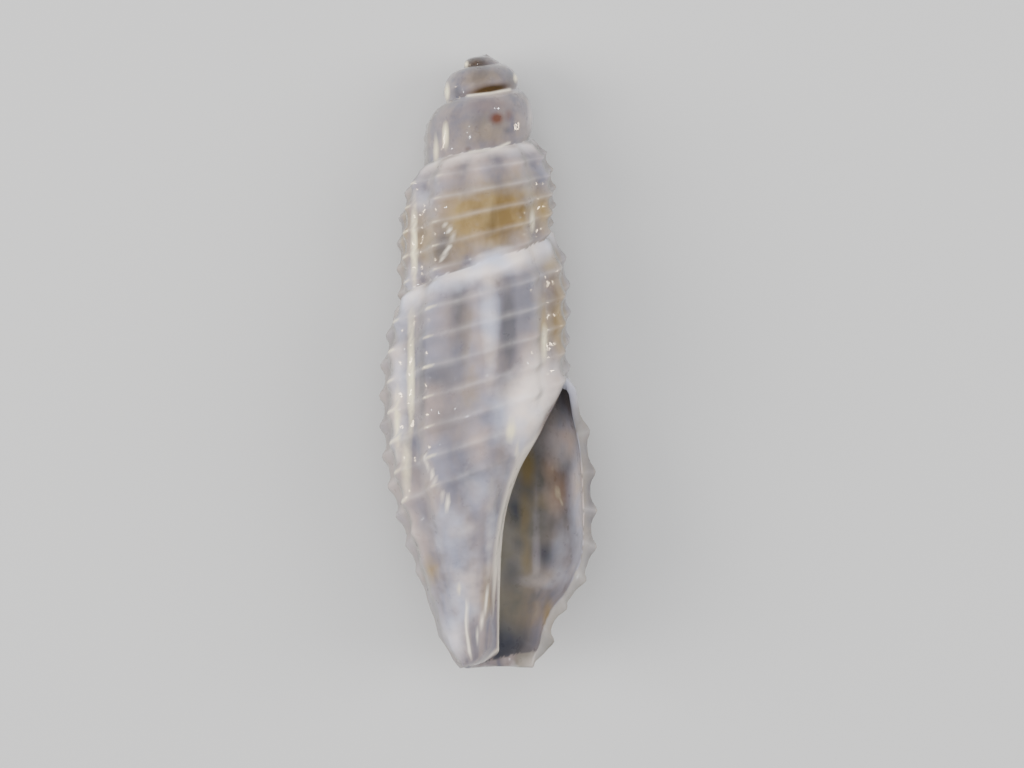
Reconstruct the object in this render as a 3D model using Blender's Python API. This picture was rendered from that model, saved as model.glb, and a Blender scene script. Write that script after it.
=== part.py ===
"""A bactrocythara shell, 3.6 mm from its apex to its canal.

The shell is grown as one piece, so it is one closed solid. It lies on the back of its last whorl
with its aperture up: the apex points along +Y, the outer lip is on the +X side, and the surface
that it rests on is Z = 0.

The wall is a sheet wound round a pillar. A place on the sheet is given by its half turn, which
counts half turns of the spiral (an even number is the right side of the shell seen from the
front, an odd number the left side), and by its cord number, which counts spiral cords down from
the suture. Lengths inside the sheet are in micrometres, and the finished mesh is in metres.
"""

import math

import bmesh
import bpy
import numpy as np
from mathutils import Matrix

MICROMETRE = 1e-6

# The spiral, from the first whorl to the outer lip
FIRST_HALF_TURN = -4
LIP_HALF_TURN = 6
RIBS_PER_TURN = 11
COLUMNS_PER_RIB = 4
COLUMNS_PER_TURN = RIBS_PER_TURN * COLUMNS_PER_RIB
FRONT_RIB_HALF_TURN = 4.5
HOLLOW_FROM_HALF_TURN = 1
CANAL_FROM_HALF_TURN = 5.23

# Depth of the suture below the apex at each half turn; past the lip it is where it would go on
SUTURE_HALF_TURNS = (-4, -3, -2, -1, 0, 1, 2, 3, 4, 5, 6, 7, 8)
SUTURE_DEPTHS = (0, 6, 41, 76, 188, 287, 481, 657, 1026, 1436, 1894, 2392, 2961)

# Depth at which the sheet ends, in the pillar and then on the rim of the canal
END_HALF_TURNS = (-4, -3, -2, -1, 0, 1, 2, 3, 3.3, 3.7, 4, 4.3, 4.6, 4.85, 5, 6)
END_DEPTHS = (
    400, 600, 800, 1100, 1585, 2140, 2610, 3520,
    3590, 3545, 3495, 3470, 3540, 3585, 3600, 3600,
)

# Radius of the whorl at each half turn, at these parts of the way from its suture to the next
WHORL_STATIONS = (0, 0.08, 0.2, 0.42, 0.65, 0.85, 1)
WHORL_RADII = {
    -4: (20, 35, 52, 70, 87, 98, 105),
    -3: (35, 65, 85, 100, 105, 105, 100),
    -2: (105, 138, 168, 196, 212, 211, 205),
    -1: (100, 150, 190, 215, 225, 215, 205),
    0: (205, 240, 270, 295, 300, 295, 275),
    1: (205, 260, 300, 330, 335, 335, 325),
    2: (275, 327, 363, 401, 413, 403, 390),
    3: (325, 395, 427, 462, 470, 468, 457),
    4: (390, 430, 465, 488, 490, 485, 490),
    5: (457, 510, 525, 560, 565, 555, 540),
    6: (490, 540, 562, 610, 624, 628, 613),
}

# Radius from there down to the end of the sheet: hidden in the spire, the base on the last whorl
BASE_STATIONS = (0, 0.15, 0.32, 0.5, 0.68, 0.84, 1)
BASE_RADII = {
    -4: (40, 30, 25, 25, 25, 25),
    -3: (50, 35, 30, 30, 30, 30),
    -2: (150, 75, 50, 45, 45, 45),
    -1: (145, 75, 50, 45, 45, 45),
    0: (190, 90, 60, 55, 55, 55),
    1: (210, 100, 70, 65, 65, 65),
    2: (270, 140, 95, 80, 80, 80),
    3: (305, 150, 105, 95, 90, 90),
    4: (350, 200, 130, 110, 103, 100),
    4.25: (430, 275, 175, 130, 110, 100),
    4.5: (480, 400, 310, 225, 160, 100),
    5: (500, 440, 377, 303, 243, 127),
    6: (575, 520, 430, 385, 360, 250),
}

# Relief, as parts of the whorl's greatest radius
RIB_HEIGHT = 0.07
CORD_HEIGHT = 0.06
CORD_BETWEEN_RIBS = 0.35
CORDS_TO_NEXT_SUTURE = 5.45
FIRST_CORD = 0.15
RELIEF_FROM_HALF_TURN = 0.7
RELIEF_FULL_HALF_TURN = 1.5

# Towards the lip the ribs spread by this part of their spacing, so that the lip ends on a crest
RIBS_SPREAD_FROM_HALF_TURN = 5.6
LAST_RIB_SHIFT = 0.25

# The base is smooth under the glaze beside the aperture, from the inner lip to this far round
GLAZE_FADES_FROM_HALF_TURN = 4.22
GLAZE_ENDS_AT_HALF_TURN = 4.62

# Towards the lip the cords spread away from the suture, by up to this many of their spacings
CORDS_SPREAD_FROM_HALF_TURN = 5
CORD_SPREAD = 1.05
CORD_SPREAD_REACH = 1.9

# Rows down the outside of the sheet, as cord numbers, then as parts of what is left to its end
WHORL_ROWS = (0, 0.65, 1.15, 1.65, 2.15, 2.65, 3.15, 3.65, 4.15, 4.65, 5.15, CORDS_TO_NEXT_SUTURE)
SHEET_TOP_ROW = 5.85
BASE_ROWS = (6.15, 6.65, 7.15, 7.65)
ROWS_TO_END = (0.1, 0.29, 0.47, 0.65, 0.82, 1)
INNER_ROWS = 9

WALL_PER_CORD = 0.33
THICKEST_WALL = 56
LEAST_GAP = 8
LIP_THINS_FROM = 5.85
LIP_WALL = 0.6
PILLAR_TIP_BULGE = 25

# It lies on its back, leaning on the ribs of the last whorl and of the whorl before the last
ROLL = math.radians(-0.5)
PITCH = math.radians(-7.1)
FLAT_SPOT_DEPTH = 25
FLAT_SPOT_WELD = 0.5


def smooth_through(keys, values, at):
    """A curve through the values that never overshoots them, read at one place or many."""
    keys = np.asarray(keys, float)
    values = np.asarray(values, float)
    at = np.clip(at, keys[0], keys[-1])
    steps = np.diff(keys)
    slopes = np.diff(values) / steps
    bends = np.zeros(len(keys))
    before, after = slopes[:-1], slopes[1:]
    same_way = before * after > 0
    weight_before = 2 * steps[1:] + steps[:-1]
    weight_after = steps[1:] + 2 * steps[:-1]
    with np.errstate(divide="ignore", invalid="ignore"):
        mean = (weight_before + weight_after) / (weight_before / before + weight_after / after)
    bends[1:-1] = np.where(same_way, mean, 0)
    bends[0], bends[-1] = slopes[0], slopes[-1]
    k = np.clip(np.searchsorted(keys, at, side="right") - 1, 0, len(keys) - 2)
    t = (at - keys[k]) / steps[k]
    start, end = values[k], values[k + 1]
    lean_in, lean_out = bends[k] * steps[k], bends[k + 1] * steps[k]
    return (
        start * (1 + 2 * t) * (1 - t) ** 2
        + end * t * t * (3 - 2 * t)
        + lean_in * t * (1 - t) ** 2
        - lean_out * t * t * (1 - t)
    )


def ramp(value, start, end):
    """0 before start, 1 after end, and a smooth rise between them."""
    t = np.clip((value - start) / (end - start), 0, 1)
    return t * t * (3 - 2 * t)


def suture_depth(half_turn):
    return smooth_through(SUTURE_HALF_TURNS, SUTURE_DEPTHS, half_turn)


def radii_at(half_turn, table):
    turns = sorted(table)
    return [float(smooth_through(turns, column, half_turn)) for column in zip(*map(table.get, turns))]


class Section:
    """The sheet cut by the half plane at one half turn: a curve of depth and radius."""

    def __init__(self, half_turn):
        self.half_turn = half_turn
        top = float(suture_depth(half_turn))
        joint = float(suture_depth(half_turn + 2))
        end = float(smooth_through(END_HALF_TURNS, END_DEPTHS, half_turn))
        whorl = radii_at(half_turn, WHORL_RADII)
        base = radii_at(half_turn, BASE_RADII)
        depths = [top + s * (joint - top) for s in WHORL_STATIONS]
        depths += [joint + s * (end - joint) for s in BASE_STATIONS[1:]]
        stations = np.arange(len(depths))
        fine = np.linspace(0, len(depths) - 1, 400)
        self.depth = smooth_through(stations, depths, fine)
        self.radius = smooth_through(stations, whorl + base, fine)
        steps = np.hypot(np.diff(self.depth), np.diff(self.radius))
        self.length = np.concatenate(([0], np.cumsum(steps)))
        to_joint = np.interp(len(WHORL_STATIONS) - 1, fine, self.length)
        self.cord_spacing = to_joint / CORDS_TO_NEXT_SUTURE
        self.girth = float(max(whorl))
        near_lip = float(ramp(half_turn, CORDS_SPREAD_FROM_HALF_TURN, LIP_HALF_TURN))
        self.spread = CORD_SPREAD * near_lip
        self.last_cord = self.length[-1] / self.cord_spacing - self.spread

    def at_cord(self, cord):
        """Depth and radius of the smooth sheet at a cord number."""
        lowered = self.spread * (1 - math.exp(-cord / CORD_SPREAD_REACH))
        way = (cord + lowered) * self.cord_spacing
        return np.interp(way, self.length, self.depth), np.interp(way, self.length, self.radius)

    def inner_radius(self, depths, wall):
        """Radius of the inner face at some depths, for a wall of that thickness."""
        down, out = np.gradient(self.depth), np.gradient(self.radius)
        size = np.hypot(down, out)
        depth = self.depth + wall * out / size
        radius = self.radius - wall * down / size
        order = np.argsort(depth)
        return np.interp(depths, depth[order], radius[order])


def rib_height(half_turn):
    """1 on the crest of a rib and 0 midway between two, with the last crest at the lip."""
    phase = (half_turn - FRONT_RIB_HALF_TURN) * RIBS_PER_TURN / 2
    phase = phase - LAST_RIB_SHIFT * ramp(half_turn, RIBS_SPREAD_FROM_HALF_TURN, LIP_HALF_TURN)
    return 0.5 + 0.5 * np.cos(2 * math.pi * phase)


def cord_height(cord):
    """1 on the crest of a cord, falling fast on both sides."""
    away = np.abs((cord - FIRST_CORD + 0.5) % 1 - 0.5)
    return np.exp(-((away / 0.2) ** 2))


def relief(section, cord):
    """How far the ribs and cords stand out from the smooth sheet."""
    half_turn = section.half_turn
    grown = ramp(half_turn, RELIEF_FROM_HALF_TURN, RELIEF_FULL_HALF_TURN)
    rib = rib_height(half_turn)
    down_base = ramp(cord, 7, 11)
    ribs = RIB_HEIGHT * (rib - 0.45) * (1 - 0.8 * down_base)
    beads = CORD_BETWEEN_RIBS + (1 - CORD_BETWEEN_RIBS) * rib
    cords = CORD_HEIGHT * beads * (cord_height(cord) - 0.3) * (1 - 0.7 * down_base)
    return grown * section.girth * (ribs + cords)


def outer_relief(section, above, cord):
    """Relief on the outside, easing in below the suture from that of the whorl above."""
    own = relief(section, cord) * ramp(cord, 0, 0.6)
    if above is not None:
        own = own + relief(above, CORDS_TO_NEXT_SUTURE) * (1 - ramp(cord, 0, 0.6))
    past_joint = cord > CORDS_TO_NEXT_SUTURE + 0.01
    unglazed = ramp(section.half_turn, GLAZE_FADES_FROM_HALF_TURN, GLAZE_ENDS_AT_HALF_TURN)
    return own * (unglazed if past_joint else 1)


def outer_rows(section):
    rows = list(WHORL_ROWS) + [SHEET_TOP_ROW] + list(BASE_ROWS)
    left = section.last_cord - rows[-1]
    return rows + [rows[-1] + left * part for part in ROWS_TO_END]


def place(half_turn, depth, radius):
    """A point of the spiral, with the apex along +Y and the front of the shell facing +Z."""
    turn = math.pi * half_turn
    return (radius * math.cos(turn), -depth, radius * math.sin(turn))


class Sheet:
    """The two faces of the wound sheet, as columns of mesh corners."""

    def __init__(self, mesh):
        self.mesh = mesh
        count = round((LIP_HALF_TURN - FIRST_HALF_TURN) * COLUMNS_PER_TURN / 2)
        self.half_turns = [FIRST_HALF_TURN + 2 * i / COLUMNS_PER_TURN for i in range(count + 1)]
        self.sections = [Section(n) for n in self.half_turns]
        self.joint_row = len(WHORL_ROWS) - 1
        self.under_row = self.joint_row + 1
        self.last_row = len(WHORL_ROWS) + len(BASE_ROWS) + len(ROWS_TO_END)
        self.hollow = self.column(HOLLOW_FROM_HALF_TURN)
        self.lip_foot = self.column(LIP_HALF_TURN - 2)
        self.canal = self.column(CANAL_FROM_HALF_TURN)
        self.outer = []
        self.inner = {}

    def column(self, half_turn):
        return round((half_turn - FIRST_HALF_TURN) * COLUMNS_PER_TURN / 2)

    def add_outer_corners(self):
        for i, section in enumerate(self.sections):
            above = self.sections[i - COLUMNS_PER_TURN] if i >= COLUMNS_PER_TURN else None
            column = []
            for row, cord in enumerate(outer_rows(section)):
                hidden = row > self.joint_row and i + COLUMNS_PER_TURN < self.hollow
                if row == 0 and i >= COLUMNS_PER_TURN:
                    column.append(self.outer[i - COLUMNS_PER_TURN][self.joint_row])
                elif hidden:
                    column.append(None)
                else:
                    depth, radius = section.at_cord(cord)
                    radius = radius + float(outer_relief(section, above, cord))
                    corner = place(section.half_turn, float(depth), float(radius))
                    column.append(self.mesh.verts.new(corner))
            self.outer.append(column)

    def add_inner_corners(self):
        for i in range(self.hollow, len(self.sections)):
            section = self.sections[i]
            around = self.sections[i - COLUMNS_PER_TURN]
            top, _ = around.at_cord(SHEET_TOP_ROW)
            bottom = around.depth[-1]
            parts = (np.arange(INNER_ROWS + 1) / INNER_ROWS) ** 1.25
            depths = top + parts * (bottom - top)
            thinned = 1 - (1 - LIP_WALL) * ramp(section.half_turn, LIP_THINS_FROM, LIP_HALF_TURN)
            wall = min(WALL_PER_CORD * section.cord_spacing, THICKEST_WALL) * thinned
            radii = section.inner_radius(depths, wall)
            pillar = np.interp(depths, around.depth, around.radius)
            radii = np.maximum(radii, pillar + LEAST_GAP)
            foot = self.outer[i - COLUMNS_PER_TURN]
            column = [foot[self.under_row]]
            for row in range(1, INNER_ROWS):
                corner = place(section.half_turn, float(depths[row]), float(radii[row]))
                column.append(self.mesh.verts.new(corner))
            if i <= self.canal:
                column.append(foot[self.last_row])
            else:
                corner = place(section.half_turn, float(depths[-1]), float(radii[-1]))
                column.append(self.mesh.verts.new(corner))
            self.inner[i] = column

    def face(self, *corners):
        distinct = list(dict.fromkeys(corners))
        if len(distinct) > 2:
            self.mesh.faces.new(distinct)

    def add_outer_faces(self):
        for i in range(len(self.sections) - 1):
            here, there = self.outer[i], self.outer[i + 1]
            for row in range(self.last_row):
                buried = row > self.joint_row and i + COLUMNS_PER_TURN < self.hollow
                wall_foot = row == self.joint_row and i < self.lip_foot
                if not buried and not wall_foot:
                    self.face(here[row], here[row + 1], there[row + 1], there[row])

    def add_inner_faces(self):
        for i in range(self.hollow, len(self.sections) - 1):
            here, there = self.inner[i], self.inner[i + 1]
            for row in range(INNER_ROWS):
                self.face(here[row], there[row], there[row + 1], here[row + 1])

    def close_lip(self):
        edge = self.outer[-1] + list(reversed(self.inner[len(self.sections) - 1]))
        self.face(*edge)
        for i in range(self.canal, len(self.sections) - 1):
            out, out_next = self.outer[i][-1], self.outer[i + 1][-1]
            into, into_next = self.inner[i][-1], self.inner[i + 1][-1]
            self.face(out, into, into_next, out_next)

    def close_hollow_end(self):
        foot = self.outer[self.hollow - COLUMNS_PER_TURN][self.under_row:]
        self.face(*(self.inner[self.hollow] + list(reversed(foot))))

    def close_pillar(self):
        ring = [self.outer[i][-1] for i in range(self.canal - COLUMNS_PER_TURN, self.canal + 1)]
        depth = sum(-corner.co.y for corner in ring) / len(ring)
        middle = self.mesh.verts.new((0, -depth - PILLAR_TIP_BULGE, 0))
        for corner, following in zip(ring, ring[1:] + ring[:1]):
            self.face(corner, following, middle)

    def close_apex(self):
        rim = [self.outer[i][0] for i in range(COLUMNS_PER_TURN + 1)]
        rim += list(reversed(self.outer[0][:self.joint_row]))
        rim = list(dict.fromkeys(rim))
        middle = self.mesh.verts.new((0, 0, 0))
        for corner, following in zip(rim, rim[1:] + rim[:1]):
            self.face(corner, following, middle)


def wound_sheet():
    """The whole shell as one closed mesh, in micrometres, with its axis along Y."""
    mesh = bmesh.new()
    sheet = Sheet(mesh)
    sheet.add_outer_corners()
    sheet.add_inner_corners()
    sheet.add_outer_faces()
    sheet.add_inner_faces()
    sheet.close_lip()
    sheet.close_hollow_end()
    sheet.close_pillar()
    sheet.close_apex()
    bmesh.ops.recalc_face_normals(mesh, faces=mesh.faces)
    return mesh


def shell_material():
    material = bpy.data.materials.new("greyish white translucent lime")
    material.use_nodes = True
    shader = material.node_tree.nodes["Principled BSDF"]
    shader.inputs["Base Color"].default_value = (0.44, 0.42, 0.44, 1)
    shader.inputs["Roughness"].default_value = 0.3
    shader.inputs["Metallic"].default_value = 0
    shader.inputs["Subsurface Weight"].default_value = 0.6
    shader.inputs["Subsurface Scale"].default_value = 0.0002
    return material


def clear_scene():
    for item in list(bpy.data.objects):
        bpy.data.objects.remove(item, do_unlink=True)


def new_collection(name):
    collection = bpy.data.collections.new(name)
    bpy.context.scene.collection.children.link(collection)
    return collection


def grind_flat(sheet):
    """Cuts the sheet off below Z = 0 and closes each cut with a flat face."""
    everything = list(sheet.verts) + list(sheet.edges) + list(sheet.faces)
    cut = bmesh.ops.bisect_plane(
        sheet,
        geom=everything,
        dist=FLAT_SPOT_WELD,
        plane_co=(0, 0, 0),
        plane_no=(0, 0, -1),
        clear_outer=True,
    )
    rims = [item for item in cut["geom_cut"] if isinstance(item, bmesh.types.BMEdge)]
    bmesh.ops.holes_fill(sheet, edges=rims, sides=0)
    bmesh.ops.recalc_face_normals(sheet, faces=sheet.faces)


def make_shell(collection):
    sheet = wound_sheet()
    lie = Matrix.Rotation(ROLL, 4, "Y") @ Matrix.Rotation(PITCH, 4, "X")
    bmesh.ops.transform(sheet, matrix=lie, verts=sheet.verts)
    lowest = min(corner.co.z for corner in sheet.verts)
    middle = (min(c.co.y for c in sheet.verts) + max(c.co.y for c in sheet.verts)) / 2
    across = (min(c.co.x for c in sheet.verts) + max(c.co.x for c in sheet.verts)) / 2
    bmesh.ops.translate(sheet, vec=(-across, -middle, -lowest - FLAT_SPOT_DEPTH), verts=sheet.verts)
    grind_flat(sheet)
    bmesh.ops.scale(sheet, vec=(MICROMETRE,) * 3, verts=sheet.verts)
    data = bpy.data.meshes.new("shell")
    sheet.to_mesh(data)
    sheet.free()
    data.shade_smooth()
    data.materials.append(shell_material())
    shell = bpy.data.objects.new("shell", data)
    collection.objects.link(shell)
    return shell


def main():
    clear_scene()
    parts = new_collection("bactrocythara shell")
    make_shell(parts)


main()
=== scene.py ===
"""The looks of a bactrocythara shell: a milky, half clear snail shell lying on a pale floor.

The shell is modelled the way that it grew. Two grids, the outer and the inner face of its wall, are
wound onto the spiral, then joined at the sutures, the lip and the canal. The spiral is the one that
the solid was built on, with finer columns and rows. Lengths on the spiral are in micrometres, and
the finished piece is in metres.
"""

import math

import bpy
import numpy as np
from mathutils import Matrix, Vector

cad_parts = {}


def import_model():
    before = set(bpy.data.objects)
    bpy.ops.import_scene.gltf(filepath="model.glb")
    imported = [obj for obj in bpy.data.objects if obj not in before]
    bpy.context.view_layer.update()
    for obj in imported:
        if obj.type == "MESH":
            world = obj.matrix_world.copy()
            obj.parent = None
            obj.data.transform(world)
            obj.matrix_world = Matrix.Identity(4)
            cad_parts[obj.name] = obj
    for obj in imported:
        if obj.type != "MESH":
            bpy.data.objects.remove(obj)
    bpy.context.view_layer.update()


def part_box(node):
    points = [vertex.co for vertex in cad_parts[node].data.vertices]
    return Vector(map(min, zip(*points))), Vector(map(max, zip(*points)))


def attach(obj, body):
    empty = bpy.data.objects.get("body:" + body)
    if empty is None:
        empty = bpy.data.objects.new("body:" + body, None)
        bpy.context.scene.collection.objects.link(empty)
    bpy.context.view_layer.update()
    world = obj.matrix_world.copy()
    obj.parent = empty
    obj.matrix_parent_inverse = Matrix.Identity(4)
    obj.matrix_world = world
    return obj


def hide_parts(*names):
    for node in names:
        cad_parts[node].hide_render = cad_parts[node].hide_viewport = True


MICROMETRE = 1e-6

# The spiral, counted in half turns: an even number is the right side of the shell, an odd one the left
FIRST_HALF_TURN = -4
LIP_HALF_TURN = 6
RIBS_PER_TURN = 11
COLUMNS_PER_RIB = 12
COLUMNS_PER_TURN = RIBS_PER_TURN * COLUMNS_PER_RIB
FRONT_RIB_HALF_TURN = 4.5
HOLLOW_FROM_HALF_TURN = 1
CANAL_FROM_HALF_TURN = 5.23

SUTURE_HALF_TURNS = (-4, -3, -2, -1, 0, 1, 2, 3, 4, 5, 6, 7, 8)
SUTURE_DEPTHS = (0, 6, 41, 76, 188, 287, 481, 657, 1026, 1436, 1894, 2392, 2961)
END_HALF_TURNS = (-4, -3, -2, -1, 0, 1, 2, 3, 3.3, 3.7, 4, 4.3, 4.6, 4.85, 5, 6)
END_DEPTHS = (
    400, 600, 800, 1100, 1585, 2140, 2610, 3520,
    3590, 3545, 3495, 3470, 3540, 3585, 3600, 3600,
)

# Radius of the whorl at each half turn, from its suture down to the next
WHORL_STATIONS = (0, 0.08, 0.2, 0.42, 0.65, 0.85, 1)
WHORL_RADII = {
    -4: (20, 35, 52, 70, 87, 98, 105),
    -3: (35, 65, 85, 100, 105, 105, 100),
    -2: (105, 138, 168, 196, 212, 211, 205),
    -1: (100, 150, 190, 215, 225, 215, 205),
    0: (205, 240, 270, 295, 300, 295, 275),
    1: (205, 260, 300, 330, 335, 335, 325),
    2: (275, 327, 363, 401, 413, 403, 390),
    3: (325, 395, 427, 462, 470, 468, 457),
    4: (390, 430, 465, 488, 490, 485, 490),
    5: (457, 510, 525, 560, 565, 555, 540),
    6: (490, 540, 562, 610, 624, 628, 613),
}

# Radius from there to the end of the wall, in the pillar and on the base of the last whorl
BASE_STATIONS = (0, 0.15, 0.32, 0.5, 0.68, 0.84, 1)
BASE_RADII = {
    -4: (40, 30, 25, 25, 25, 25),
    -3: (50, 35, 30, 30, 30, 30),
    -2: (150, 75, 50, 45, 45, 45),
    -1: (145, 75, 50, 45, 45, 45),
    0: (190, 90, 60, 55, 55, 55),
    1: (210, 100, 70, 65, 65, 65),
    2: (270, 140, 95, 80, 80, 80),
    3: (305, 150, 105, 95, 90, 90),
    4: (350, 200, 130, 110, 103, 100),
    4.25: (430, 275, 175, 130, 110, 100),
    4.5: (480, 400, 310, 225, 160, 100),
    5: (500, 440, 377, 303, 243, 127),
    6: (575, 520, 430, 385, 360, 250),
}

# Ribs and cords, their heights as parts of the whorl's greatest radius
RIB_HEIGHT = 0.07
RIB_MEAN = 0.45
CORD_HEIGHT = 0.06
CORD_MEAN = 0.3
CORD_REACH = 0.2
CORD_BETWEEN_RIBS = 0.35
CORDS_TO_NEXT_SUTURE = 5.45
FIRST_CORD = 0.15
RELIEF_FROM_HALF_TURN = 0.7
RELIEF_FULL_HALF_TURN = 1.5
EASE_BELOW_SUTURE = 0.6

# Down the base, between these cord numbers, the ribs and cords lose these parts of their height
BASE_CORDS = (7, 11)
RIB_LOSS = 0.8
CORD_LOSS = 0.7

# Towards the lip the ribs spread by this part of their spacing, so that the lip ends on a crest
RIBS_SPREAD_FROM_HALF_TURN = 5.6
LAST_RIB_SHIFT = 0.25
CORDS_SPREAD_FROM_HALF_TURN = 5
CORD_SPREAD = 1.05
CORD_SPREAD_REACH = 1.9
GLAZE_FADES_FROM_HALF_TURN = 4.22
GLAZE_ENDS_AT_HALF_TURN = 4.62

# Rows down the wall, as cord numbers: below the suture, round each cord, and the rest to the end
SUTURE_ROWS = (0, 0.05, 0.15, 0.25, 0.37, 0.51)
ROWS_ROUND_CORD = (-0.35, -0.21, -0.07, 0.05, 0.15, 0.25, 0.37, 0.51)
SHEET_TOP_ROW = 5.85
LAST_FULL_CORD = 8
ROWS_TO_END = 16
RIM_STEPS = 4
CURVE_STEPS = 400

# The wall, and the rounded rim along the lip and the canal, with the corner where the two meet
WALL_PER_CORD = 0.33
THICKEST_WALL = 56
LEAST_GAP = 8
LIP_THINS_FROM = 5.85
LIP_WALL = 0.6
PILLAR_TIP_BULGE = 25
RIM_BULGE = 0.7
RIM_HALF_WALL = 17
RIM_GROWS_IN = (0, 0.4, 0.8)
CORNER_COLUMNS = 8
CORNER_ROWS = 10
SAME_PLACE = 0.02
HOLLOW_END_CORNERS = 9

# the dark tint is painted shade and the brightest one painted highlight; the milk, honey and rose tints
# also hold some painted light
PATCH_TINTS = ("hollow_shade", "amber", "rose_and_glints", "honey_and_painted_light", "milk_and_lit_spots", "highlight")
PATCH_SPREAD = 1.25
FINE_LINE_REACH = 7
THREAD_REACH = 0.1

# Where the tints that follow the growth begin and end: heights for the front, else half turns
FRONT = (-60, 60)
LIP_MARGIN = (LIP_HALF_TURN - 0.22, LIP_HALF_TURN - 0.1)
CAVE_END = (LIP_HALF_TURN - 0.5, LIP_HALF_TURN - 0.02)
PILLAR_EDGE_HALF_TURN = 4.1
PILLAR_EDGE_REACH = 0.3

# Tones of the lime, each from one colour to another, as they look on a screen
TONES = {
    "clear": ((98, 98, 112), (138, 126, 123)),
    "milky": ((150, 149, 166), (190, 170, 163)),
    "tan": ((124, 100, 54), (162, 138, 90)),
    "white": ((222, 225, 245), (252, 236, 228)),
    "cave": ((134, 130, 116), (160, 156, 147)),
}

# The outline of a patch: what is left out, what shows in full, and how soon its uneven part ends
OUTLINE = (0.12, 0.85)
OUTLINE_GATE = 5
RAGGED_MEAN = 0.45

# How it lies: the same turn, and the same small flat spots, as the solid
ROLL = math.radians(-0.5)
PITCH = math.radians(-7.1)
LIE = Matrix.Rotation(ROLL, 4, "Y") @ Matrix.Rotation(PITCH, 4, "X")
FLAT_SPOT_DEPTH = 25

# Patches of tint, painted shade and painted highlight on the outside: place across and down the front,
# reach both ways, slant, strength
OUTER_PATCHES = {
    # painted shade: the dark hollow seen through the thin wall
    "hollow_shade": (
        (158, 1640, 42, 290, -0.13, 1), (252, 1440, 70, 250, -0.1, 0.55), (-129, 1520, 55, 230, 0, 0.7),
        (-258, 1905, 95, 90, 0, 0.8), (-240, 2140, 90, 110, 0, 0.6), (-342, 1905, 20, 290, 0, 1),
        (-94, 1700, 18, 50, 0, 0.5), (-229, 1100, 55, 110, 0, 0.9), (-59, 2445, 60, 90, 0, 0.5),
        (170, 135, 34, 38, 0, 0.9), (-147, 223, 28, 32, 0, 0.8), (147, 452, 22, 22, 0, 0.8),
        (-340, 1050, 40, 60, 0, 0.5), (420, 1450, 30, 160, 0, 0.4), (-41, 45, 80, 40, 0, 1),
        (0, 110, 250, 80, 0.1, 0.45), (0, 400, 270, 150, 0.1, 0.35), (640, 2500, 36, 400, 0, 0.7),
    ),
    "amber": (
        (47, 211, 125, 28, 0.2, 1), (-23, 217, 22, 22, 0, 0.6), (70, 985, 14, 90, 0, 0.55),
        (40, 1010, 50, 60, 0, 0.4), (-80, 560, 18, 14, 0, 0.5), (-275, 2445, 26, 10, 0.3, 0.5),
        (-41, 50, 70, 40, 0, 0.65),
    ),
    "rose_and_glints": ((88, 381, 32, 28, 0, 1), (158, 363, 22, 32, 0, 0.5), (20, 300, 120, 60, 0, 0.3)),
    # the lime's own honey tan; the narrow tall patches along the edges of the third and fourth whorls are
    # painted: a warm streak of reflected light and brownish edge shade
    "honey_and_painted_light": (
        (47, 965, 330, 165, 0.15, 1), (-317, 1073, 90, 130, 0, 0.8), (358, 1612, 26, 190, 0, 0.9),
        (-90, 1660, 40, 180, 0, 0.35), (-299, 3020, 50, 70, 0, 0.7), (35, 3150, 38, 130, 0, 0.5),
        (10, 450, 170, 90, 0, 0.45), (60, 2750, 26, 260, 0.1, 0.4), (-60, 1950, 60, 160, 0, 0.3),
        (0, 140, 120, 40, 0.2, 0.4), (-150, 1120, 200, 110, 0.1, 0.7), (369, 938, 60, 120, 0, 0.9),
        (457, 1550, 60, 260, 0, 1), (-470, 1026, 45, 240, 0, 1), (410, 1150, 60, 120, 0, 0.8),
    ),
    # the milky white of the lime; the large patch at 285 across is a painted lit spot
    "milk_and_lit_spots": (
        (59, 1225, 115, 50, 0.3, 1), (285, 2020, 140, 200, 0.5, 1), (47, 1554, 42, 300, -0.1, 0.5),
        (-480, 1964, 60, 350, 0, 0.5), (-158, 3430, 60, 130, -0.2, 0.6), (-340, 860, 50, 60, 0, 0.5),
        (59, 2785, 40, 250, 0.1, 0.4), (-170, 2820, 120, 150, 0, 0.35), (300, 330, 26, 110, 0, 0.6),
        (-400, 1360, 60, 110, 0, 0.4), (-129, 3080, 110, 200, -0.1, 0.45), (0, 2480, 200, 200, 0.3, 0.2),
    ),
    # painted highlights: warm streaks of reflected light along the left of the whorls, and glints on the
    # smooth whorls and edges
    "highlight": (
        (-410, 1876, 15, 260, 0, 1), (-492, 2140, 12, 150, 0, 0.9), (-393, 1114, 13, 200, 0, 1),
        (-440, 2404, 26, 150, 0, 0.6), (-211, 470, 13, 60, 0, 0.9), (-268, 557, 12, 80, 0, 0.6),
        (-205, 217, 12, 40, 0, 1), (199, 129, 12, 25, 0, 1), (170, 2200, 20, 48, 0.4, 0.9),
        (363, 1690, 14, 80, 0, 0.9), (-129, 3137, 12, 16, 0, 0.9), (294, 985, 12, 50, 0, 0.8),
        (205, 2330, 10, 70, 0.4, 0.4), (-94, 50, 10, 16, 0, 0.9),
    ),
}

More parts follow.
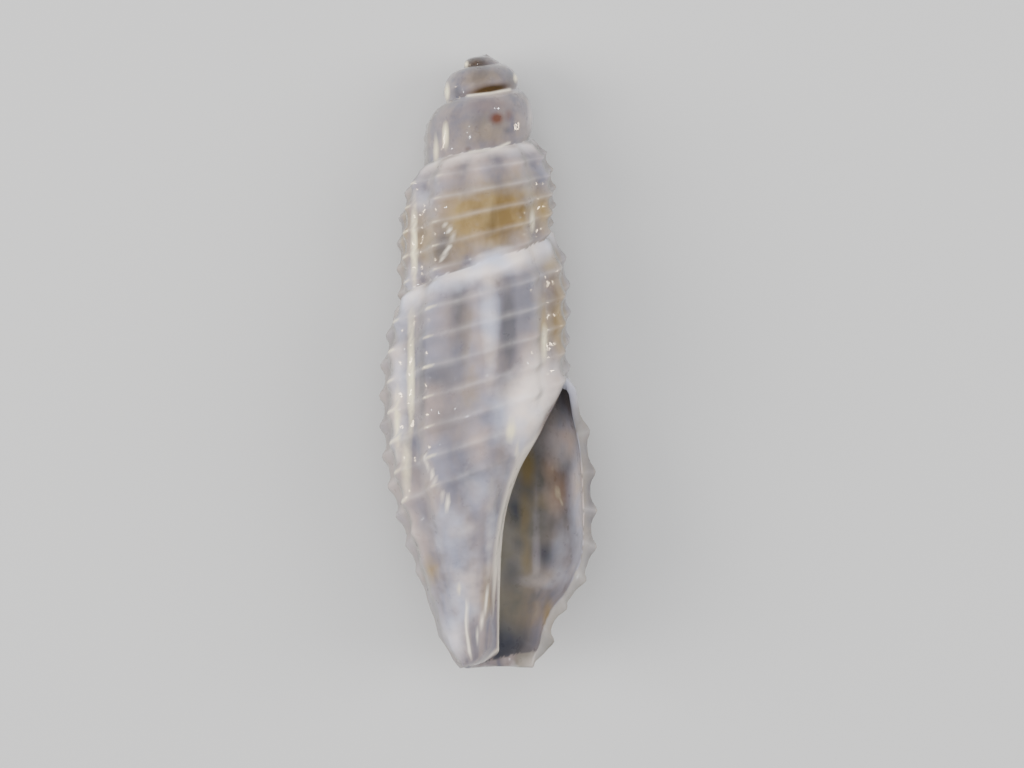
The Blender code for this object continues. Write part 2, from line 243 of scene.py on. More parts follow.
# The same seen through the aperture, on the inside of the outer lip, with painted shade deep inside and
# painted glints near the lip
INNER_PATCHES = {
    # painted shade deep in the aperture and the canal
    "hollow_shade": (
        (205, 2697, 45, 80, 0, 0.8), (370, 2931, 62, 55, 0, 0.8), (223, 2873, 40, 45, 0, 0.5),
        (123, 3500, 190, 120, 0, 1), (180, 3080, 50, 110, 0, 0.5), (260, 2560, 60, 70, 0, 0.5),
        (430, 2780, 50, 60, 0, 0.4), (400, 2330, 50, 60, 0, 0.4),
    ),
    "honey_and_painted_light": (
        (270, 2430, 36, 90, 0, 1), (252, 2726, 30, 150, 0, 0.7), (262, 2960, 30, 130, 0, 0.5),
        (387, 3342, 26, 110, 0.3, 0.9), (240, 3250, 110, 150, 0, 0.4), (330, 2640, 60, 60, 0, 0.4),
    ),
    # painted glints: bright warm spots inside the outer lip
    "rose_and_glints": ((410, 2440, 50, 90, -0.2, 0.9), (457, 2570, 62, 95, 0, 1)),
    "milk_and_lit_spots": (
        (580, 2500, 62, 450, 0, 0.8), (480, 2257, 110, 130, 0, 0.9), (320, 2870, 24, 300, 0, 0.35),
        (330, 3100, 130, 40, 0, 0.35), (480, 2900, 70, 200, 0, 0.35),
    ),
    # painted glints inside the outer lip
    "highlight": ((446, 2570, 14, 30, -0.4, 0.5), (412, 2445, 10, 34, -0.2, 0.4), (472, 2625, 10, 12, 0, 0.5)),
}

# Fine pale lines, each drawn through a few places across and down the front
FINE_LINES = (
    ((-334, 2345), (-246, 2550), (-188, 2638)),
    ((-210, 1000), (-170, 1060), (-185, 1130), (-230, 1200)),
    ((-82, 246), (50, 232), (164, 205)),
    ((-70, 580), (80, 560), (158, 522)),
    ((-82, 3195), (-94, 3342), (-70, 3518)),
    ((59, 3080), (30, 3150), (20, 3260), (-30, 3400)),
)

# The view: straight down on the aperture side, as wide as the photograph
VIEW_WIDTH = 6004
VIEW_CENTRE = (176, -1929, 0)
LENS = 200
SENSOR = 36
FLOOR_SIZE = 0.4


def smooth_through(keys, values, at):
    """A curve through the values that never overshoots them, read at one place or many."""
    keys = np.asarray(keys, float)
    values = np.asarray(values, float)
    at = np.clip(at, keys[0], keys[-1])
    steps = np.diff(keys)
    slopes = np.diff(values) / steps
    bends = np.zeros(len(keys))
    before, after = slopes[:-1], slopes[1:]
    same_way = before * after > 0
    weight_before = 2 * steps[1:] + steps[:-1]
    weight_after = steps[1:] + 2 * steps[:-1]
    with np.errstate(divide="ignore", invalid="ignore"):
        mean = (weight_before + weight_after) / (weight_before / before + weight_after / after)
    bends[1:-1] = np.where(same_way, mean, 0)
    bends[0], bends[-1] = slopes[0], slopes[-1]
    k = np.clip(np.searchsorted(keys, at, side="right") - 1, 0, len(keys) - 2)
    t = (at - keys[k]) / steps[k]
    start, end = values[k], values[k + 1]
    lean_in, lean_out = bends[k] * steps[k], bends[k + 1] * steps[k]
    return (
        start * (1 + 2 * t) * (1 - t) ** 2
        + end * t * t * (3 - 2 * t)
        + lean_in * t * (1 - t) ** 2
        - lean_out * t * t * (1 - t)
    )


def ramp(value, start, end):
    """0 at start, 1 at end, and a smooth rise between them."""
    t = np.clip((value - start) / (end - start), 0, 1)
    return t * t * (3 - 2 * t)


def near(value, centre, reach):
    """1 at the centre, fading to nothing over the reach."""
    return np.exp(-(((value - centre) / reach) ** 2))


def radii_at(half_turn, table):
    """Radii down the wall at one half turn, read between the rows of a table."""
    turns = sorted(table)
    return [float(smooth_through(turns, column, half_turn)) for column in zip(*map(table.get, turns))]


class Section:
    """The wall cut by the half plane at one half turn: a curve of depth and radius."""

    def __init__(self, half_turn):
        self.half_turn = half_turn
        top = float(smooth_through(SUTURE_HALF_TURNS, SUTURE_DEPTHS, half_turn))
        joint = float(smooth_through(SUTURE_HALF_TURNS, SUTURE_DEPTHS, half_turn + 2))
        end = float(smooth_through(END_HALF_TURNS, END_DEPTHS, half_turn))
        whorl = radii_at(half_turn, WHORL_RADII)
        base = radii_at(half_turn, BASE_RADII)
        depths = [top + s * (joint - top) for s in WHORL_STATIONS]
        depths += [joint + s * (end - joint) for s in BASE_STATIONS[1:]]
        stations = np.arange(len(depths))
        fine = np.linspace(0, len(depths) - 1, CURVE_STEPS)
        self.depth = smooth_through(stations, depths, fine)
        self.radius = smooth_through(stations, whorl + base, fine)
        steps = np.hypot(np.diff(self.depth), np.diff(self.radius))
        self.length = np.concatenate(([0], np.cumsum(steps)))
        to_joint = np.interp(len(WHORL_STATIONS) - 1, fine, self.length)
        self.cord_spacing = to_joint / CORDS_TO_NEXT_SUTURE
        self.girth = float(max(whorl))
        near_lip = float(ramp(half_turn, CORDS_SPREAD_FROM_HALF_TURN, LIP_HALF_TURN))
        self.spread = CORD_SPREAD * near_lip
        self.last_cord = self.length[-1] / self.cord_spacing - self.spread

    def at_cord(self, cords):
        """Depths and radii of the smooth wall at some cord numbers."""
        lowered = self.spread * (1 - np.exp(-cords / CORD_SPREAD_REACH))
        way = (cords + lowered) * self.cord_spacing
        return np.interp(way, self.length, self.depth), np.interp(way, self.length, self.radius)

    def inner_radius(self, depths, wall):
        """Radius of the inner face at some depths, for a wall of that thickness."""
        down, out = np.gradient(self.depth), np.gradient(self.radius)
        size = np.hypot(down, out)
        depth = self.depth + wall * out / size
        radius = self.radius - wall * down / size
        order = np.argsort(depth)
        return np.interp(depths, depth[order], radius[order])


def rib_height(half_turn):
    """1 on the crest of a rib and 0 midway between two, with the last crest at the lip."""
    phase = (half_turn - FRONT_RIB_HALF_TURN) * RIBS_PER_TURN / 2
    phase = phase - LAST_RIB_SHIFT * ramp(half_turn, RIBS_SPREAD_FROM_HALF_TURN, LIP_HALF_TURN)
    return 0.5 + 0.5 * np.cos(2 * math.pi * phase)


def off_cord(cord):
    """How far a cord number is from the nearest crest."""
    return np.abs((cord - FIRST_CORD + 0.5) % 1 - 0.5)


def cord_height(cord):
    """1 on the crest of a cord, falling fast on both sides."""
    return near(off_cord(cord), 0, CORD_REACH)


def grown_relief(half_turn):
    """0 on the smooth first whorls and 1 where the ribs and cords are full."""
    return ramp(half_turn, RELIEF_FROM_HALF_TURN, RELIEF_FULL_HALF_TURN)


def relief(section, cords):
    """How far the ribs and cords stand out from the smooth wall."""
    rib = rib_height(section.half_turn)
    down_base = ramp(cords, *BASE_CORDS)
    ribs = RIB_HEIGHT * (rib - RIB_MEAN) * (1 - RIB_LOSS * down_base)
    beads = CORD_BETWEEN_RIBS + (1 - CORD_BETWEEN_RIBS) * rib
    threads = CORD_HEIGHT * beads * (cord_height(cords) - CORD_MEAN) * (1 - CORD_LOSS * down_base)
    return grown_relief(section.half_turn) * section.girth * (ribs + threads)


def outer_relief(section, above, cords):
    """Relief on the outside, easing in below the suture from that of the whorl above."""
    eased = ramp(cords, 0, EASE_BELOW_SUTURE)
    own = relief(section, cords) * eased
    if above is not None:
        own = own + relief(above, np.array(CORDS_TO_NEXT_SUTURE)) * (1 - eased)
    unglazed = float(ramp(section.half_turn, GLAZE_FADES_FROM_HALF_TURN, GLAZE_ENDS_AT_HALF_TURN))
    past_joint = cords > CORDS_TO_NEXT_SUTURE + 0.01
    return own * np.where(past_joint, unglazed, 1)


def whorl_rows():
    """Cord numbers of the rows from one suture to the next."""
    rows = list(SUTURE_ROWS)
    for cord in range(1, 6):
        rows += [cord + step for step in ROWS_ROUND_CORD]
    rows[-1] = CORDS_TO_NEXT_SUTURE
    return rows


def outer_rows(section):
    """Cord numbers of all the rows down the outside at one section."""
    rows = whorl_rows() + [SHEET_TOP_ROW] + [6 + step for step in ROWS_ROUND_CORD[2:]]
    for cord in range(7, LAST_FULL_CORD):
        rows += [cord + step for step in ROWS_ROUND_CORD]
    left = section.last_cord - rows[-1]
    parts = (np.arange(ROWS_TO_END) + 1) / ROWS_TO_END
    return np.concatenate((rows, rows[-1] + left * parts))


JOINT_ROW = len(whorl_rows()) - 1
UNDER_ROW = JOINT_ROW + 1


def column_of(half_turn):
    """The grid's column at a half turn."""
    return round((half_turn - FIRST_HALF_TURN) * COLUMNS_PER_TURN / 2)


LAST_COLUMN = column_of(LIP_HALF_TURN)
HOLLOW_COLUMN = column_of(HOLLOW_FROM_HALF_TURN)
LIP_FOOT_COLUMN = column_of(LIP_HALF_TURN - 2)
CANAL_COLUMN = column_of(CANAL_FROM_HALF_TURN)


def place(half_turns, depths, radii):
    """Points of the spiral, with the apex along +Y and the front of the shell facing +Z."""
    turns = math.pi * half_turns
    depths = np.broadcast_to(-depths, np.broadcast(turns, depths).shape)
    return np.stack((radii * np.cos(turns), depths, radii * np.sin(turns)), axis=-1)


class Spiral:
    """The corners of both faces of the wall, a line of them for each column."""

    def __init__(self):
        self.half_turns = FIRST_HALF_TURN + 2 * np.arange(LAST_COLUMN + 1) / COLUMNS_PER_TURN
        self.sections = [Section(n) for n in self.half_turns]
        self.cords = np.array([outer_rows(section) for section in self.sections])
        self.rows = self.cords.shape[1]
        self.work_out_outside()
        self.work_out_inside()
        self.turn_rim_in()

    def work_out_outside(self):
        self.depths = np.empty_like(self.cords)
        self.radii = np.empty_like(self.cords)
        for i, section in enumerate(self.sections):
            above = self.sections[i - COLUMNS_PER_TURN] if i >= COLUMNS_PER_TURN else None
            depths, radii = section.at_cord(self.cords[i])
            self.depths[i] = depths
            self.radii[i] = radii + outer_relief(section, above, self.cords[i])
            if above is not None:
                self.depths[i, 0] = self.depths[i - COLUMNS_PER_TURN, JOINT_ROW]
                self.radii[i, 0] = self.radii[i - COLUMNS_PER_TURN, JOINT_ROW]
        self.outside = place(self.half_turns[:, None], self.depths, self.radii)

    def work_out_inside(self):
        columns = range(HOLLOW_COLUMN, LAST_COLUMN + 1)
        inner_depths = np.empty((len(columns), self.rows))
        inner_radii = np.empty((len(columns), self.rows))
        for line, i in enumerate(columns):
            section = self.sections[i]
            foot = i - COLUMNS_PER_TURN
            around = self.sections[foot]
            top, bottom = self.depths[foot, UNDER_ROW], self.depths[foot, -1]
            own = self.depths[i]
            depths = top + (own - own[0]) / (own[-1] - own[0]) * (bottom - top)
            thinned = 1 - (1 - LIP_WALL) * ramp(section.half_turn, LIP_THINS_FROM, LIP_HALF_TURN)
            wall = min(WALL_PER_CORD * section.cord_spacing, THICKEST_WALL) * thinned
            pillar = np.interp(depths, around.depth, around.radius)
            radii = np.maximum(section.inner_radius(depths, wall), pillar + LEAST_GAP)
            radii[0] = self.radii[foot, UNDER_ROW]
            if i <= CANAL_COLUMN:
                radii[-1] = self.radii[foot, -1]
            inner_depths[line] = depths
            inner_radii[line] = radii
        self.inside = place(self.half_turns[HOLLOW_COLUMN:, None], inner_depths, inner_radii)

    def turn_rim_in(self):
        """Adds columns past the lip and rows past the canal that bring the outside round to the inside."""
        last_row = self.rows - 1
        canal = slice(CANAL_COLUMN, LAST_COLUMN + 1)
        canal_outer = self.outside[canal, last_row]
        canal_inner = self.inside[CANAL_COLUMN - HOLLOW_COLUMN:, last_row]
        lip_outer, lip_inner = self.outside[LAST_COLUMN], self.inside[-1]
        growth = place(self.half_turns[canal] + 0.5, 0, 1)
        off_canal = one_long(np.cross(canal_outer - canal_inner, growth))
        off_corner = one_long(off_canal[-1] + growth[-1])
        last_along = len(canal_outer) - 1
        to_canal_corner = ramp(np.arange(last_along + 1), last_along - CORNER_COLUMNS, last_along)
        to_lip_corner = ramp(np.arange(self.rows), last_row - CORNER_ROWS, last_row)
        off_canal = one_long(off_canal + to_canal_corner[:, None] * (off_corner - off_canal))
        off_lip = one_long(growth[-1] + to_lip_corner[:, None] * (off_corner - growth[-1]))
        self.outside = np.pad(self.outside, ((0, RIM_STEPS), (0, RIM_STEPS), (0, 0)), mode="edge")
        for step in range(1, RIM_STEPS + 1):
            lip_line = round_edge(lip_outer, lip_inner, off_lip, step)
            self.outside[LAST_COLUMN + step, :self.rows] = lip_line
            self.outside[canal, last_row + step] = round_edge(canal_outer, canal_inner, off_canal, step)
        self.outer_half_turns = np.pad(self.half_turns, (0, RIM_STEPS), mode="edge")
        self.outer_cords = np.pad(self.cords, ((0, RIM_STEPS), (0, RIM_STEPS)), mode="edge")


def one_long(arrows):
    """The same directions, each brought to a length of one."""
    return arrows / np.linalg.norm(arrows, axis=-1, keepdims=True)


def round_edge(outer, inner, away, step):
    """The corners of the rim at one step of a half circle from the outer to the inner face."""
    angle = math.pi * step / RIM_STEPS
    middle, half = (outer + inner) / 2, (outer - inner) / 2
    bulge = np.minimum(np.linalg.norm(half, axis=-1, keepdims=True), RIM_HALF_WALL) * RIM_BULGE
    bulge[:len(RIM_GROWS_IN)] *= np.reshape(RIM_GROWS_IN, (-1, 1))
    corners = middle + half * math.cos(angle) + away * bulge * math.sin(angle)
    corners[0] = outer[0] if step < RIM_STEPS else inner[0]
    return corners


def deselect_all():
    bpy.ops.object.select_all(action="DESELECT")


def edit(piece, mode, **chosen):
    """Opens the piece in edit mode with nothing selected but the edges or polygons chosen."""
    bpy.ops.object.mode_set(mode="EDIT")
    bpy.ops.mesh.select_mode(type=mode)
    bpy.ops.mesh.select_all(action="DESELECT")
    bpy.ops.object.mode_set(mode="OBJECT")
    for kind, flags in chosen.items():
        getattr(piece.data, kind).foreach_set("select", flags)
    bpy.ops.object.mode_set(mode="EDIT")


def mark(piece, name, values):
    """Keeps a value for each corner of the piece under a name."""
    layer = piece.data.attributes.new(name, "FLOAT", "POINT")
    layer.data.foreach_set("value", np.ravel(values))


def wind_grid(name, half_turns, cords, corners, inside):
    """A flat grid with its columns wound round the axis, one for each half turn."""
    columns, rows = cords.shape
    deselect_all()
    bpy.ops.mesh.primitive_grid_add(x_subdivisions=rows - 1, y_subdivisions=columns - 1, size=2)
    grid = bpy.context.object
    grid.name = name
    grid.data.vertices.foreach_set("co", corners.ravel())
    along = np.repeat(half_turns, rows)
    lay_growth_map(grid, along, cords.ravel())
    for tint, strength in tints(along, cords.ravel(), corners, inside).items():
        mark(grid, tint, strength)
    grid.data.update()
    return grid


def lay_growth_map(grid, half_turn, cord):
    """Makes the grid's UV map read half turns along the growth and cord numbers across it."""
    loops = np.empty(len(grid.data.loops), int)
    grid.data.loops.foreach_get("vertex_index", loops)
    places = np.stack((half_turn[loops], cord[loops]), axis=-1)
    grid.data.uv_layers[0].name = "growth"
    grid.data.uv_layers[0].uv.foreach_set("vector", places.ravel())


def patches(across, depth, spots):
    """Soft patches of one tint, strongest where they overlap."""
    strength = np.zeros_like(across)
    for centre_across, centre_depth, reach_across, reach_depth, slant, most in spots:
        lowered = depth - centre_depth + slant * (across - centre_across)
        reach_across, reach_depth = PATCH_SPREAD * reach_across, PATCH_SPREAD * reach_depth
        away = ((across - centre_across) / reach_across) ** 2 + (lowered / reach_depth) ** 2
        strength = np.maximum(strength, most * np.exp(-away))
    return strength


def fine_lines(across, depth):
    """1 on the fine pale lines, falling off within a few micrometres."""
    strength = np.zeros_like(across)
    for line in FINE_LINES:
        for (from_across, from_depth), (to_across, to_depth) in zip(line, line[1:]):
            along_across, along_depth = to_across - from_across, to_depth - from_depth
            reached = (across - from_across) * along_across + (depth - from_depth) * along_depth
            reached = np.clip(reached / (along_across**2 + along_depth**2), 0, 1)
            off_across = across - from_across - reached * along_across
            off_depth = depth - from_depth - reached * along_depth
            strength = np.maximum(strength, np.exp(-(off_across**2 + off_depth**2) / FINE_LINE_REACH**2))
    return strength


def edge_on(corners):
    """1 where the face of a grid is seen edge on from the front, 0 where it faces the front or back."""
    normal = np.cross(np.gradient(corners, axis=0), np.gradient(corners, axis=1))
    size = np.maximum(np.linalg.norm(normal, axis=-1), 1e-9)
    return 1 - np.abs(normal[..., 2]) / size


def tints(half_turn, cord, corners, inside):
    """How strongly each tint of the lime, and each painted shade and highlight, shows at each corner, from
    0 to 1.
    """
    edge = edge_on(corners).ravel()
    corners = corners.reshape(-1, 3)
    across, depth = corners[:, 0], -corners[:, 1]
    grown = grown_relief(half_turn)
    rib = rib_height(half_turn) * grown * (1 - RIB_LOSS * ramp(cord, *BASE_CORDS))
    thread = near(off_cord(cord), 0, THREAD_REACH) * grown * (1 - 0.6 * ramp(cord, 8, 11))
    lip = ramp(half_turn, *LIP_MARGIN)
    seen = 1 if inside else np.maximum(ramp(corners[:, 2], *FRONT), lip)
    table = INNER_PATCHES if inside else OUTER_PATCHES
    strengths = {tint: seen * patches(across, depth, table.get(tint, ())) for tint in PATCH_TINTS}
    if inside:
        none = np.zeros_like(rib)
        cave = 1 - ramp(half_turn, *CAVE_END)
        strengths.update(rib=0.25 * rib, thread=0.1 * thread, cave=cave, side=none, line=none)
        return strengths
    below_suture = 0.7 * near(cord, 0.1, 0.6) * ramp(half_turn, -1, 0.5)
    strengths["milk_and_lit_spots"] = np.clip(strengths["milk_and_lit_spots"] + below_suture * (cord < CORDS_TO_NEXT_SUTURE), 0, 1)
    inner_tan = 0.8 * near(half_turn, 2.4, 1.0) * ramp(cord, 0.9, 2.4) * (1 - seen)
    strengths["honey_and_painted_light"] = np.maximum(strengths["honey_and_painted_light"], inner_tan)
    # painted glints: white dots on the beads of the ribs on the left
    left_bead_glints = 0.6 * seen * ramp(rib * thread, 0.8, 0.98) * ramp(-across, 150, 350)
    strengths["highlight"] = np.maximum(strengths["highlight"], left_bead_glints)
    on_pillar = np.abs(half_turn - PILLAR_EDGE_HALF_TURN) < PILLAR_EDGE_REACH
    inner_lip = ramp(edge, 0.45, 0.75) * ramp(depth, 2150, 2300) * on_pillar
    lines = np.maximum(seen * fine_lines(across, depth), inner_lip * (across > 0))
    # painted shade: a dark brownish tone where the wall is seen edge on from the front, and a little of it
    # along the lip margin
    side = ramp(edge, 0.4, 0.9) * ramp(half_turn, -1, 1)
    side = np.maximum(side * (1 - inner_lip), 0.25 * lip)
    strengths.update(rib=rib, thread=thread, cave=0.6 * lip, side=side, line=lines)
    return strengths


def delete_buried_faces(outside, spiral):
    """Takes out the parts of the outer grid that a later whorl covers, and the ends of the rim."""
    rows_across = spiral.outer_cords.shape[1] - 1
    face = np.arange(len(outside.data.polygons))
    column, row = face // rows_across, face % rows_across
    last_row = spiral.rows - 1
    buried = (row > JOINT_ROW) & (column + COLUMNS_PER_TURN < HOLLOW_COLUMN)
    wall_foot = (row == JOINT_ROW) & (column < LIP_FOOT_COLUMN)
    off_rim = (row >= last_row) & ((column < CANAL_COLUMN) | (column >= LAST_COLUMN))
    edit(outside, "FACE", polygons=buried | wall_foot | off_rim)
    bpy.ops.mesh.delete(type="FACE")
    bpy.ops.object.mode_set(mode="OBJECT")


def close_holes(shell):
    """Closes the first whorl, the tip of the pillar and the end of the hollow."""
    edit(shell, "EDGE")
    bpy.ops.mesh.select_non_manifold(use_wire=False, use_multi_face=False, use_verts=False)
    bpy.ops.mesh.edge_face_add()
    bpy.ops.mesh.select_all(action="SELECT")
    bpy.ops.mesh.normals_make_consistent(inside=False)
    bpy.ops.object.mode_set(mode="OBJECT")
    poke_faces(shell, COLUMNS_PER_TURN, "MEDIAN")
    poke_faces(shell, HOLLOW_END_CORNERS, "MEDIAN_WEIGHTED")


def poke_faces(shell, fewest_corners, middle):
    """Splits the faces with that many corners round a raised middle."""
    many_sided = [len(face.vertices) >= fewest_corners for face in shell.data.polygons]
    edit(shell, "FACE", polygons=many_sided)
    bpy.ops.mesh.poke(offset=PILLAR_TIP_BULGE, center_mode=middle)
    bpy.ops.object.mode_set(mode="OBJECT")


def corner_box(piece):
    """The lowest and the highest corner of the box round a piece."""
    corners = np.empty(len(piece.data.vertices) * 3)
    piece.data.vertices.foreach_get("co", corners)
    corners = corners.reshape(-1, 3)
    return Vector(corners.min(axis=0)), Vector(corners.max(axis=0))


def lay_down(shell, solid_box):
    """Lays the shell where the solid lies, and says where that put its spiral."""
    shell.data.transform(LIE)
    low, high = corner_box(shell)
    solid_low, solid_high = (corner / MICROMETRE for corner in solid_box)
    middle = (low + high) / 2
    shift = (solid_low + solid_high) / 2 - middle
    shift.z = solid_high.z - high.z
    shell.data.transform(Matrix.Translation(shift))
    fit_x = (solid_high.x - solid_low.x) / (high.x - low.x)
    fit_y = (solid_high.y - solid_low.y) / (high.y - low.y)
    fit = Matrix.Diagonal((min(fit_x, 1), min(fit_y, 1), 1, 1))
    shell.data.transform(fit)
    return Matrix.Translation(shift) @ LIE


def grind_flat_spots(shell):
    """Cuts off what would reach below the floor, and closes each cut."""
    edit(shell, "FACE")
    bpy.ops.mesh.select_all(action="SELECT")
    bpy.ops.mesh.bisect(plane_co=(0, 0, 0), plane_no=(0, 0, 1), use_fill=True, clear_inner=True)
    bpy.ops.object.mode_set(mode="OBJECT")


def make_shell(solid_box):
    """Winds both faces of the wall, joins them, and lays the shell on its flat spots."""
    spiral = Spiral()
    outside = wind_grid("outside", spiral.outer_half_turns, spiral.outer_cords, spiral.outside, False)
    delete_buried_faces(outside, spiral)
    hollow = slice(HOLLOW_COLUMN, None)
    inside = wind_grid("inside", spiral.half_turns[hollow], spiral.cords[hollow], spiral.inside, True)
    deselect_all()
    inside.select_set(True)
    outside.select_set(True)
    bpy.context.view_layer.objects.active = outside
    bpy.ops.object.join()
    shell = outside
    shell.name = "wound_shell"
    edit(shell, "VERT")
    bpy.ops.mesh.select_all(action="SELECT")
    bpy.ops.mesh.remove_doubles(threshold=SAME_PLACE)
    bpy.ops.object.mode_set(mode="OBJECT")
    close_holes(shell)
    place = lay_down(shell, solid_box)
    grind_flat_spots(shell)
    shell.data.transform(Matrix.Scale(MICROMETRE, 4))
    bpy.ops.object.shade_smooth()
    return shell, place


class Finish:
    """A material on the Principled shader, with the nodes that vary it."""

    def __init__(self, name):
        self.material = bpy.data.materials.new(name)
        self.material.use_nodes = True
        self.nodes = self.material.node_tree.nodes
        self.links = self.material.node_tree.links
        self.shader = self.nodes["Principled BSDF"]

    def set(self, **values):
        for socket, value in values.items():
            self.shader.inputs[socket.replace("_", " ")].default_value = value

    def put(self, socket, value):
        """Links a socket to another node's output, or sets it to a number or colour."""
        if isinstance(value, bpy.types.NodeSocket):
            self.links.new(value, socket)
        else:
            socket.default_value = value

    def attribute(self, name):
        node = self.nodes.new("ShaderNodeAttribute")
        node.attribute_name = name
        return node.outputs["Fac"]

    def math(self, operation, *values, clamp=False):
        node = self.nodes.new("ShaderNodeMath")
        node.operation = operation
        node.use_clamp = clamp
        for socket, value in zip(node.inputs, values):
            self.put(socket, value)
        return node.outputs[0]

    def stretch(self, value, low, high, new_low=0.0, new_high=1.0):
        node = self.nodes.new("ShaderNodeMapRange")
        for socket, number in zip(node.inputs, (value, low, high, new_low, new_high)):
            self.put(socket, number)
        return node.outputs[0]

    def mix(self, amount, below, above):
        node = self.nodes.new("ShaderNodeMix")
        node.data_type = "RGBA"
        self.put(node.inputs["Factor"], amount)
        self.put(node.inputs["A"], below)
        self.put(node.inputs["B"], above)
        return node.outputs["Result"]

    def millimetres(self):
        """Object coordinates, counted in millimetres."""
        where = self.nodes.new("ShaderNodeTexCoord")
        node = self.nodes.new("ShaderNodeMapping")
        node.inputs["Scale"].default_value = (1000, 1000, 1000)
        self.links.new(where.outputs["Object"], node.inputs["Vector"])
        return node.outputs[0]

    def growth(self, stretch_along, stretch_across):
        """The UV map, with half turns and cord numbers stretched apart."""
        where = self.nodes.new("ShaderNodeUVMap")
        where.uv_map = "growth"
        node = self.nodes.new("ShaderNodeMapping")
        node.inputs["Scale"].default_value = (stretch_along, stretch_across, 1)
        self.links.new(where.outputs[0], node.inputs["Vector"])
        return node.outputs[0]

    def noise(self, where, scale, detail=3.0, roughness=0.55):
        node = self.nodes.new("ShaderNodeTexNoise")
        node.inputs["Scale"].default_value = scale
        node.inputs["Detail"].default_value = detail
        node.inputs["Roughness"].default_value = roughness
        self.links.new(where, node.inputs["Vector"])
        return node.outputs[0]

    def bump(self, height, strength, distance):
        node = self.nodes.new("ShaderNodeBump")
        node.inputs["Strength"].default_value = strength
        node.inputs["Distance"].default_value = distance
        self.links.new(height, node.inputs["Height"])
        return node.outputs[0]


def colour(red, green, blue):
    """A colour given as it looks on a screen, from 0 to 255."""
    def linear(value):
        value = value / 255
        return value / 12.92 if value <= 0.04045 else ((value + 0.055) / 1.055) ** 2.4
    return (linear(red), linear(green), linear(blue), 1)


def shell_finish():
    """Half clear lime: blue grey where it is clear, milky on the ribs, tan and amber inside the spire,
    with painted shade from the hollow and at the edges, and painted highlights and glints.
    """
    lime = Finish("half clear lime")
    where = lime.millimetres()
    cloud = lime.stretch(lime.noise(where, 4.5, 3), 0.3, 0.7)
    mottle = lime.stretch(lime.noise(where, 14, 3), 0.32, 0.68)
    hue = lime.stretch(lime.noise(where, 2.7, 2), 0.42, 0.58)
    streaks = lime.stretch(lime.noise(lime.growth(9, 0.45), 1, 3), 0.35, 0.65)
    ragged = lime.math("MULTIPLY_ADD", mottle, 0.15, lime.math("MULTIPLY", cloud, 0.75))

    def tone_of(name, amount):
        """A tone between its two colours."""
        first, second = TONES[name]
        return lime.mix(amount, colour(*first), colour(*second))

    def patch(name, most, uneven):
        """How much of a tint shows, with its outline made uneven."""
        tint = lime.attribute(name)
        shaken = lime.math("MULTIPLY_ADD", lime.math("SUBTRACT", ragged, RAGGED_MEAN), uneven, tint)
        gate = lime.math("MULTIPLY", tint, OUTLINE_GATE, clamp=True)
        shown = lime.math("MULTIPLY", lime.stretch(shaken, *OUTLINE), gate)
        return lime.math("MULTIPLY", shown, most, clamp=True)

    body = lime.math("MULTIPLY_ADD", lime.attribute("rib"), 0.5, lime.math("MULTIPLY", cloud, 0.4))
    tone = lime.mix(body, tone_of("clear", streaks), tone_of("milky", hue))
    for name, most, uneven, laid_on in (
        ("honey_and_painted_light", 0.95, 0.6, tone_of("tan", streaks)),
        # painted shade of the hollow seen through the wall
        ("hollow_shade", 0.8, 0.6, colour(90, 88, 92)),
        ("amber", 1, 0.1, colour(62, 42, 8)),
        ("rose_and_glints", 0.9, 0.1, colour(98, 54, 36)),
        # milky white, and in one patch a painted lit spot
        ("milk_and_lit_spots", 0.95, 0.35, tone_of("white", hue)),
    ):
        tone = lime.mix(patch(name, most, uneven), tone, laid_on)
    # painted shade along the edges seen edge on, and along the lip margin
    tone = lime.mix(lime.math("MULTIPLY", lime.attribute("side"), 0.8), tone, colour(84, 70, 46))
    cave = tone_of("cave", cloud)
    for name, most, uneven, laid_on in (
        # painted shade deep in the aperture
        ("hollow_shade", 0.9, 0.6, colour(82, 88, 104)),
        ("honey_and_painted_light", 0.9, 0.6, colour(158, 142, 104)),
        # painted glints inside the aperture, in a pale peach
        ("rose_and_glints", 0.95, 0.6, colour(255, 230, 208)),
        ("milk_and_lit_spots", 0.8, 0.2, colour(184, 184, 206)),
    ):
        cave = lime.mix(patch(name, most, uneven), cave, laid_on)
    tone = lime.mix(lime.attribute("cave"), tone, cave)
    threads = lime.math("MULTIPLY", lime.attribute("thread"), lime.stretch(cloud, 0, 1, 0.02, 0.28))
    tone = lime.mix(threads, tone, colour(224, 218, 216))
    # painted highlights: warm glints and streaks of reflected light laid into the colour
    tone = lime.mix(patch("highlight", 1, 0.3), tone, colour(255, 242, 204))
    tone = lime.mix(lime.math("MULTIPLY", lime.attribute("line"), 0.9), tone, colour(255, 244, 226))
    lime.put(lime.shader.inputs["Base Color"], tone)
    lime.put(lime.shader.inputs["Roughness"], lime.stretch(mottle, 0, 1, 0.26, 0.38))
    lime.set(
        Subsurface_Weight=0.5, Subsurface_Radius=(1.0, 0.9, 0.85), Subsurface_Scale=0.00005,
        IOR=1.55, Specular_IOR_Level=0.25, Coat_Weight=1.0, Coat_Roughness=0.07,
    )
    lime.put(lime.shader.inputs["Coat Normal"], lime.bump(lime.noise(where, 14, 1), 0.5, 0.000012))
    return lime.material


def floor_finish():
    """Plain, pale and matt."""
    board = Finish("pale board")
    board.set(Base_Color=(0.6, 0.6, 0.6, 1), Roughness=0.6)
    return board.material


def make_floor():
    deselect_all()
    bpy.ops.mesh.primitive_plane_add(size=FLOOR_SIZE)
    floor = bpy.context.object
    floor.name = "floor"
    floor.data.materials.append(floor_finish())


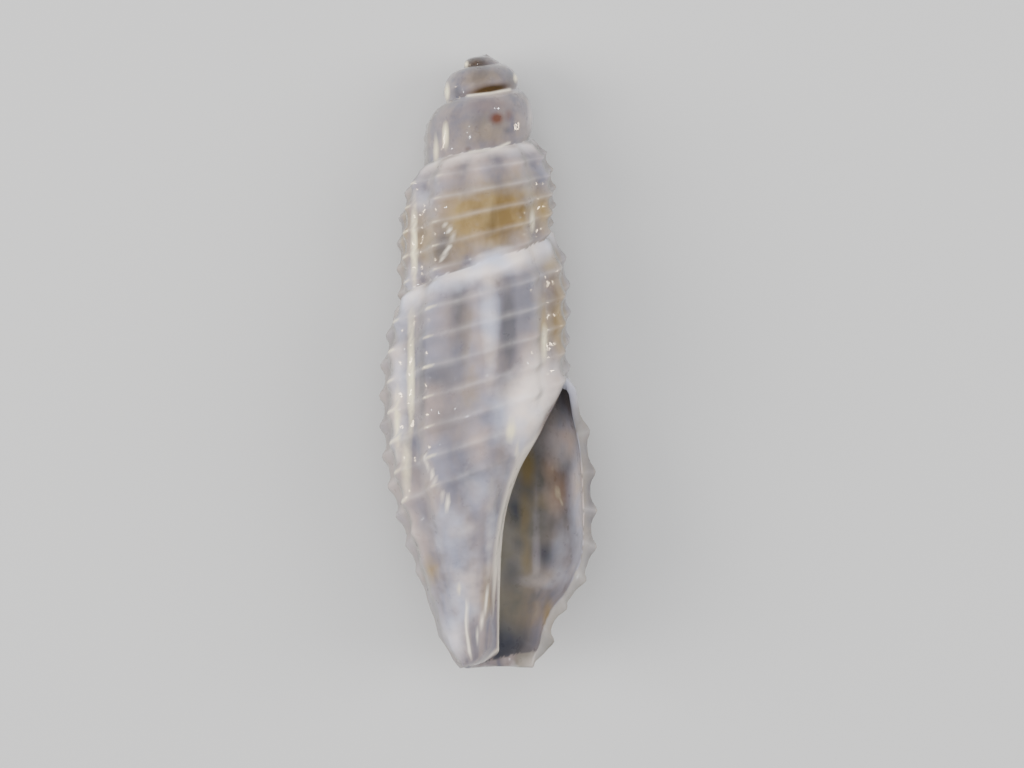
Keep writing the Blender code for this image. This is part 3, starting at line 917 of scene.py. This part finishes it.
def make_light(name, azimuth, elevation, distance, size, power, tone):
    """A round lamp that faces the shell, from a direction seen from above and a height."""
    lamp = bpy.data.lights.new(name, "AREA")
    lamp.shape = "ELLIPSE"
    lamp.size, lamp.size_y = size
    lamp.energy = power
    lamp.color = tone
    holder = bpy.data.objects.new(name, lamp)
    bpy.context.scene.collection.objects.link(holder)
    turn, rise = math.radians(azimuth), math.radians(elevation)
    direction = Vector((math.cos(turn) * math.cos(rise), math.sin(turn) * math.cos(rise), math.sin(rise)))
    holder.location = direction * distance
    holder.rotation_euler = direction.to_track_quat("Z", "Y").to_euler()
    holder.visible_camera = False
    holder.visible_glossy = False
    return holder


def make_lights():
    """Wide soft lamps for the even light, and small ones that show as glints."""
    make_light("left soft lamp", 175, 35, 0.06, (0.03, 0.06), 0.042, (1, 0.97, 0.93))
    make_light("right soft lamp", 10, 40, 0.06, (0.03, 0.06), 0.026, (1, 0.98, 0.96))
    make_light("top soft lamp", 100, 75, 0.08, (0.07, 0.07), 0.05, (0.96, 0.98, 1))
    warm, cool = (1, 0.8, 0.55), (0.97, 0.98, 1)
    for name, azimuth, elevation, size, power, tone in (
        ("left glint lamp", 176, 5, (0.012, 0.006), 0.007, warm),
        ("right glint lamp", 4, 5, (0.007, 0.005), 0.004, warm),
        ("high glint lamp", 150, 62, (0.002, 0.002), 0.0012, cool),
        ("side glint lamp", 195, 30, (0.002, 0.002), 0.0016, cool),
        ("upper glint lamp", 60, 30, (0.002, 0.002), 0.0012, cool),
    ):
        lamp = make_light(name, azimuth, elevation, 0.06, size, power, tone)
        lamp.visible_glossy = True
        lamp.visible_diffuse = False


def light_the_room():
    """An even, dim light from all sides."""
    world = bpy.data.worlds.new("studio")
    bpy.context.scene.world = world
    world.use_nodes = True
    sky = world.node_tree.nodes["Background"]
    sky.inputs["Color"].default_value = (0.9, 0.92, 0.95, 1)
    sky.inputs["Strength"].default_value = 0.34


def make_camera(place):
    """Looks straight at the aperture, with the apex up, as far away as the lens asks."""
    data = bpy.data.cameras.new("camera")
    data.lens = LENS
    data.sensor_width = SENSOR
    data.clip_start = 0.001
    data.clip_end = 10
    camera = bpy.data.objects.new("camera", data)
    bpy.context.scene.collection.objects.link(camera)
    distance = VIEW_WIDTH * LENS / SENSOR
    turn = place.to_3x3()
    target = place @ Vector(VIEW_CENTRE)
    back = (turn @ Vector((0, 0, 1))).normalized()
    up = (turn @ Vector((0, 1, 0))).normalized()
    side = up.cross(back)
    pose = Matrix((side, up, back)).transposed().to_4x4()
    pose.translation = (target + back * distance) * MICROMETRE
    camera.matrix_world = pose
    bpy.context.scene.camera = camera


def main():
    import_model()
    shell, place = make_shell(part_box("shell"))
    shell.data.materials.clear()
    shell.data.materials.append(shell_finish())
    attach(shell, "root")
    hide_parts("shell")
    make_floor()
    make_lights()
    light_the_room()
    make_camera(place)


main()
